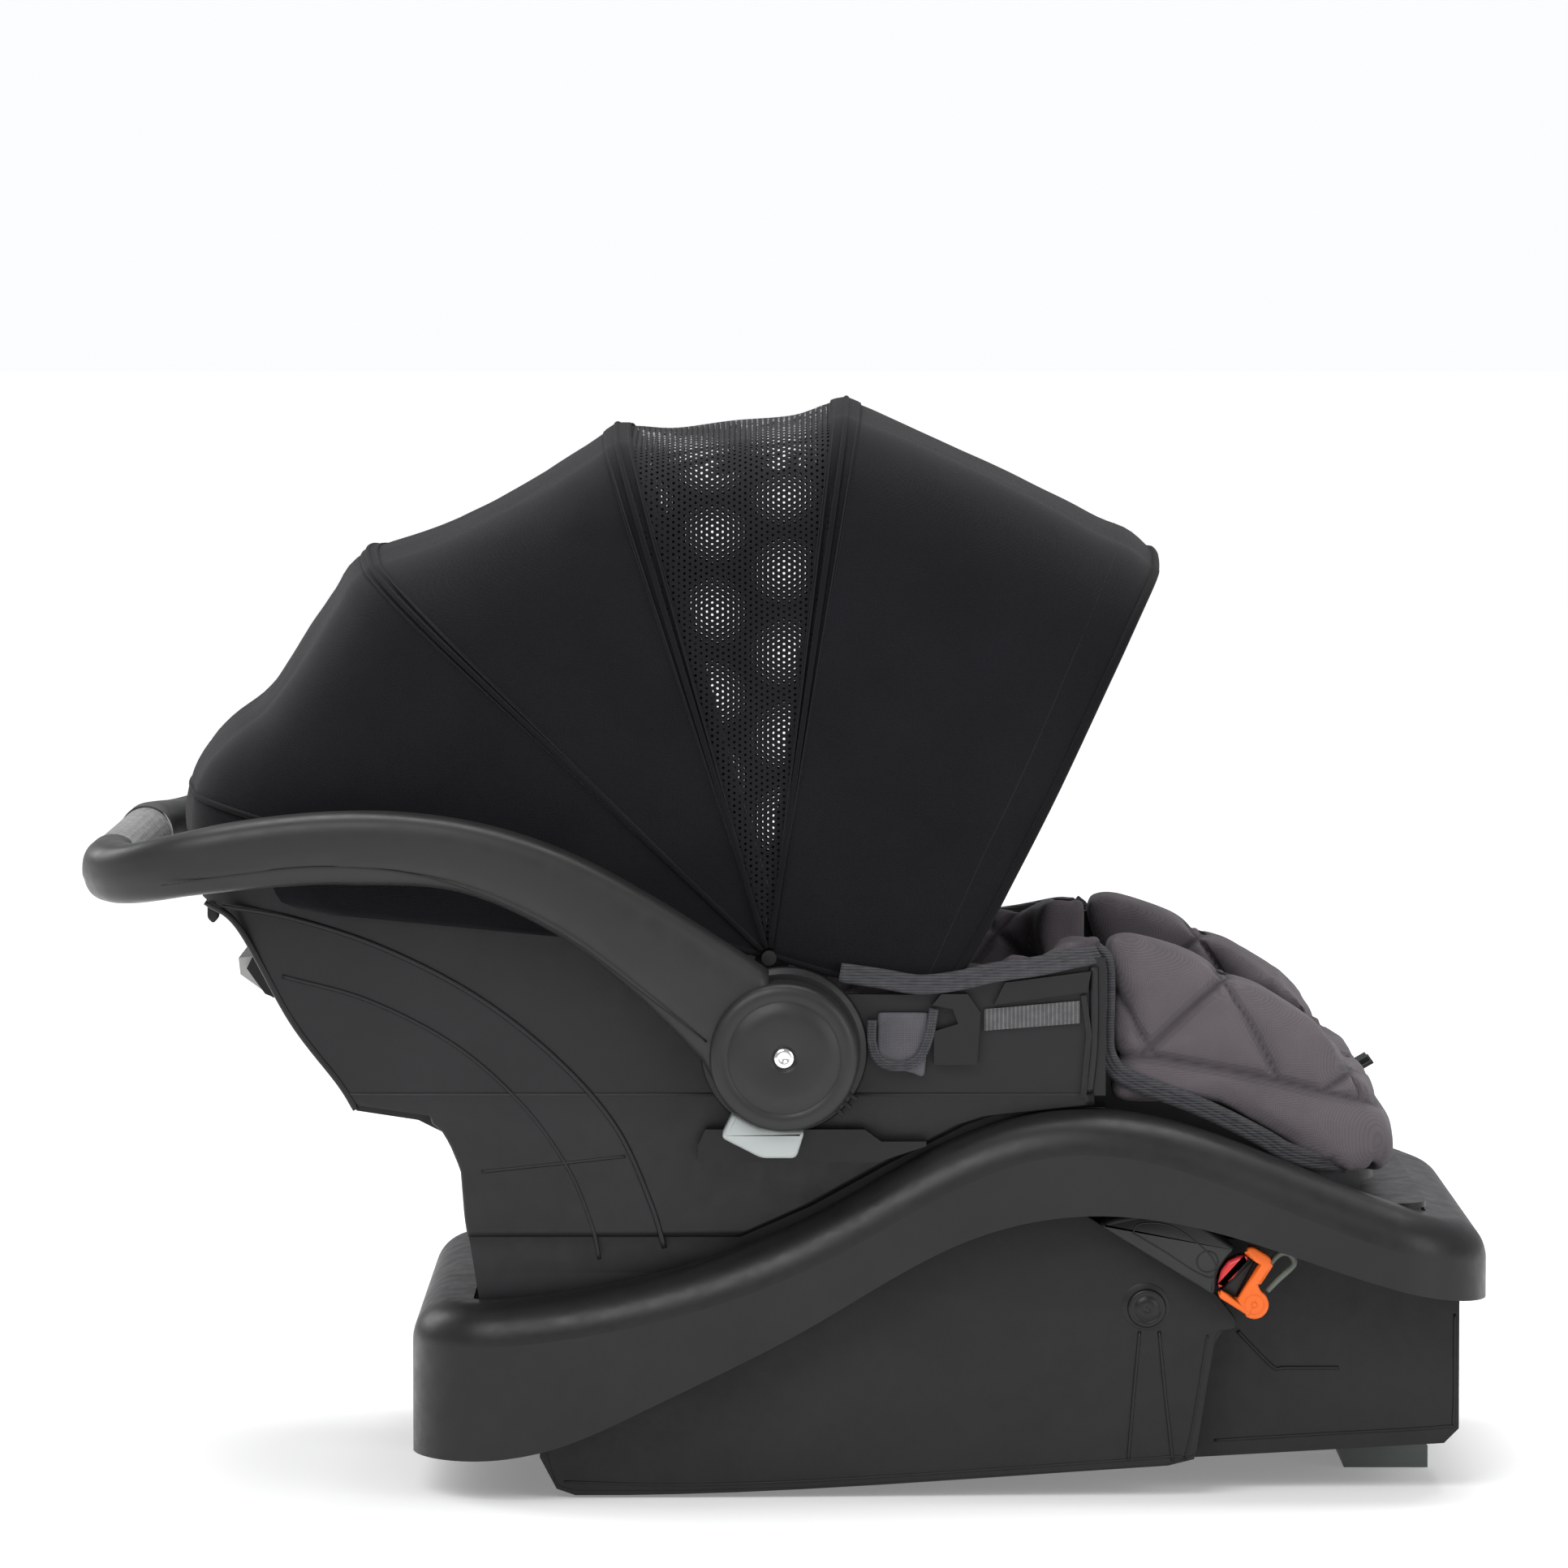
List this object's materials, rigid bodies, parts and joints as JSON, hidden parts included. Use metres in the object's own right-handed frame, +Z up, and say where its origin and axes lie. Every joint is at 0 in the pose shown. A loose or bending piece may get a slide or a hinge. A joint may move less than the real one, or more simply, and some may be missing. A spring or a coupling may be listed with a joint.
{
  "type": "infant car seat",
  "caption": "Infant car seat: a bucket carrier with a swinging carry handle, folding canopy, quilted pad and harness, standing in a base with a recline foot and lower anchor connectors",
  "frame": {"origin": "bottom centre of the whole seat, on the floor under the line the carry handle turns about", "axes": "+X from the head end to the foot end, +Y to the seat's far side, +Z up"},
  "size_m": [0.756, 0.444, 0.5771],
  "materials": {
    "shell_black": "fine-grained moulded polypropylene",
    "handle_black": "smooth semi-matt moulded plastic",
    "trim_black": "moulded plastic",
    "connector_black": "satin moulded plastic",
    "grip_grey": "soft ribbed sleeve",
    "button_grey": "smooth light grey plastic",
    "foot_grey": "mid-grey moulded plastic",
    "lever_grey": "grey moulded plastic",
    "red_plastic": "glossy moulded plastic",
    "orange_plastic": "glossy moulded plastic",
    "steel": "plated steel",
    "rivet_chrome": "polished",
    "wire": "coated wire",
    "sole_rubber": "ribbed rubber",
    "foam": "expanded foam",
    "canopy_cloth": "plain-woven polyester",
    "canopy_mesh": "open mesh with hexagonal holes",
    "quilt": "knitted cloth quilted in diamonds",
    "flap_grey": "padded cloth with a bound edge",
    "webbing": "woven webbing",
    "webbing_grey": "twill webbing"
  },
  "bodies": {
    "base": {"base_tray": "shell_black", "base_housing": "shell_black", "base_sole_pads": "sole_rubber", "base_foot_pins": "trim_black", "base_latch_bars": "steel", "base_screws": "steel", "anchor_connectors": "connector_black", "anchor_jaws": "steel", "anchor_strap": "webbing", "anchor_clips": "orange_plastic", "anchor_loops": "wire"},
    "foot": {"recline_foot": "foot_grey"},
    "anchor_release_near": {"anchor_button_near": "red_plastic"},
    "anchor_release_far": {"anchor_button_far": "red_plastic"},
    "carrier": {"carrier_shell": "shell_black", "foam_liner": "foam", "hub_brackets": "trim_black", "handle_pins": "steel", "belt_guides": "trim_black", "rim_grips": "trim_black", "rim_webbing": "webbing_grey", "rim_elastics": "webbing", "side_flaps": "flap_grey", "back_pad": "quilt", "seat_pad": "quilt", "side_pads": "quilt", "leg_pad": "quilt", "head_pillow": "quilt", "shoulder_straps": "webbing", "strap_covers": "flap_grey", "chest_clip": "trim_black", "hip_straps": "webbing", "crotch_strap": "webbing", "buckle": "trim_black", "buckle_tongues": "steel", "harness_adjuster": "trim_black", "adjuster_tail": "webbing", "splitter_plate": "steel", "canopy_mounts": "trim_black", "bow_rear": "trim_black", "canopy_rear": "canopy_cloth"},
    "lever": {"rear_lever": "lever_grey"},
    "buckle_release": {"buckle_button": "red_plastic"},
    "adjuster_release": {"adjuster_button": "button_grey"},
    "middle_bow": {"bow_mid": "trim_black", "canopy_quarter": "canopy_cloth"},
    "front_bow": {"bow_front": "trim_black", "canopy_window": "canopy_mesh"},
    "visor": {"visor_frame": "wire", "canopy_visor": "canopy_cloth"},
    "handle": {"handle_arm_near": "handle_black", "handle_arm_far": "handle_black", "handle_core": "steel", "handle_grip": "grip_grey", "hub_covers": "handle_black", "hub_rivets": "rivet_chrome"},
    "handle_release_near": {"release_button_near": "button_grey"},
    "handle_release_far": {"release_button_far": "button_grey"}
  },
  "joints": [
    {"name": "carrier_lift", "type": "slide", "parent": "base", "child": "carrier", "axis": [0, 0, 1], "range_m": [0, 0.35]},
    {"name": "recline_foot_swing", "type": "hinge", "parent": "base", "child": "foot", "pos_m": [0.1943, 0, 0.1027], "axis": [0, 1, 0], "range_deg": [0, 12]},
    {"name": "anchor_button_press_near", "type": "slide", "parent": "base", "child": "anchor_release_near", "axis": [-0.6101, 0, -0.7923], "range_m": [0, 0.0025], "stiffness_N_per_m": 400, "springref_m": -0.001},
    {"name": "anchor_button_press_far", "type": "slide", "parent": "base", "child": "anchor_release_far", "axis": [-0.6101, 0, -0.7923], "range_m": [0, 0.0025], "stiffness_N_per_m": 400, "springref_m": -0.001},
    {"name": "lever_pull", "type": "slide", "parent": "carrier", "child": "lever", "axis": [-0.4886, 0, 0.8725], "range_m": [0, 0.01], "stiffness_N_per_m": 500, "springref_m": -0.002},
    {"name": "buckle_press", "type": "slide", "parent": "carrier", "child": "buckle_release", "axis": [0, 0, -1], "range_m": [0, 0.0025], "stiffness_N_per_m": 800, "springref_m": -0.001},
    {"name": "adjuster_press", "type": "slide", "parent": "carrier", "child": "adjuster_release", "axis": [0, 0, -1], "range_m": [0, 0.0025], "stiffness_N_per_m": 600, "springref_m": -0.001},
    {"name": "canopy_fold_middle", "type": "hinge", "parent": "carrier", "child": "middle_bow", "pos_m": [-0.008, 0, 0.291], "axis": [0, -1, 0], "range_deg": [0, 24], "deforming": ["canopy_quarter"]},
    {"name": "canopy_fold_front", "type": "hinge", "parent": "middle_bow", "child": "front_bow", "pos_m": [-0.008, 0, 0.291], "axis": [0, -1, 0], "range_deg": [0, 22], "deforming": ["canopy_window"]},
    {"name": "canopy_fold_visor", "type": "hinge", "parent": "front_bow", "child": "visor", "pos_m": [-0.008, 0, 0.291], "axis": [0, -1, 0], "range_deg": [0, 30], "deforming": ["canopy_visor"]},
    {"name": "handle_swing", "type": "hinge", "parent": "carrier", "child": "handle", "pos_m": [0, 0, 0.242], "axis": [0, 1, 0], "range_deg": [0, 144]},
    {"name": "handle_button_press_near", "type": "slide", "parent": "handle", "child": "handle_release_near", "axis": [0.2348, 0, 0.972], "range_m": [0, 0.004], "stiffness_N_per_m": 600, "springref_m": -0.001},
    {"name": "handle_button_press_far", "type": "slide", "parent": "handle", "child": "handle_release_far", "axis": [0.2348, 0, 0.972], "range_m": [0, 0.004], "stiffness_N_per_m": 600, "springref_m": -0.001}
  ],
  "couplings": [
    {"joint": "canopy_fold_front", "follows": "canopy_fold_middle", "ratio": 0.9166},
    {"joint": "canopy_fold_visor", "follows": "canopy_fold_middle", "ratio": 1.25}
  ]
}
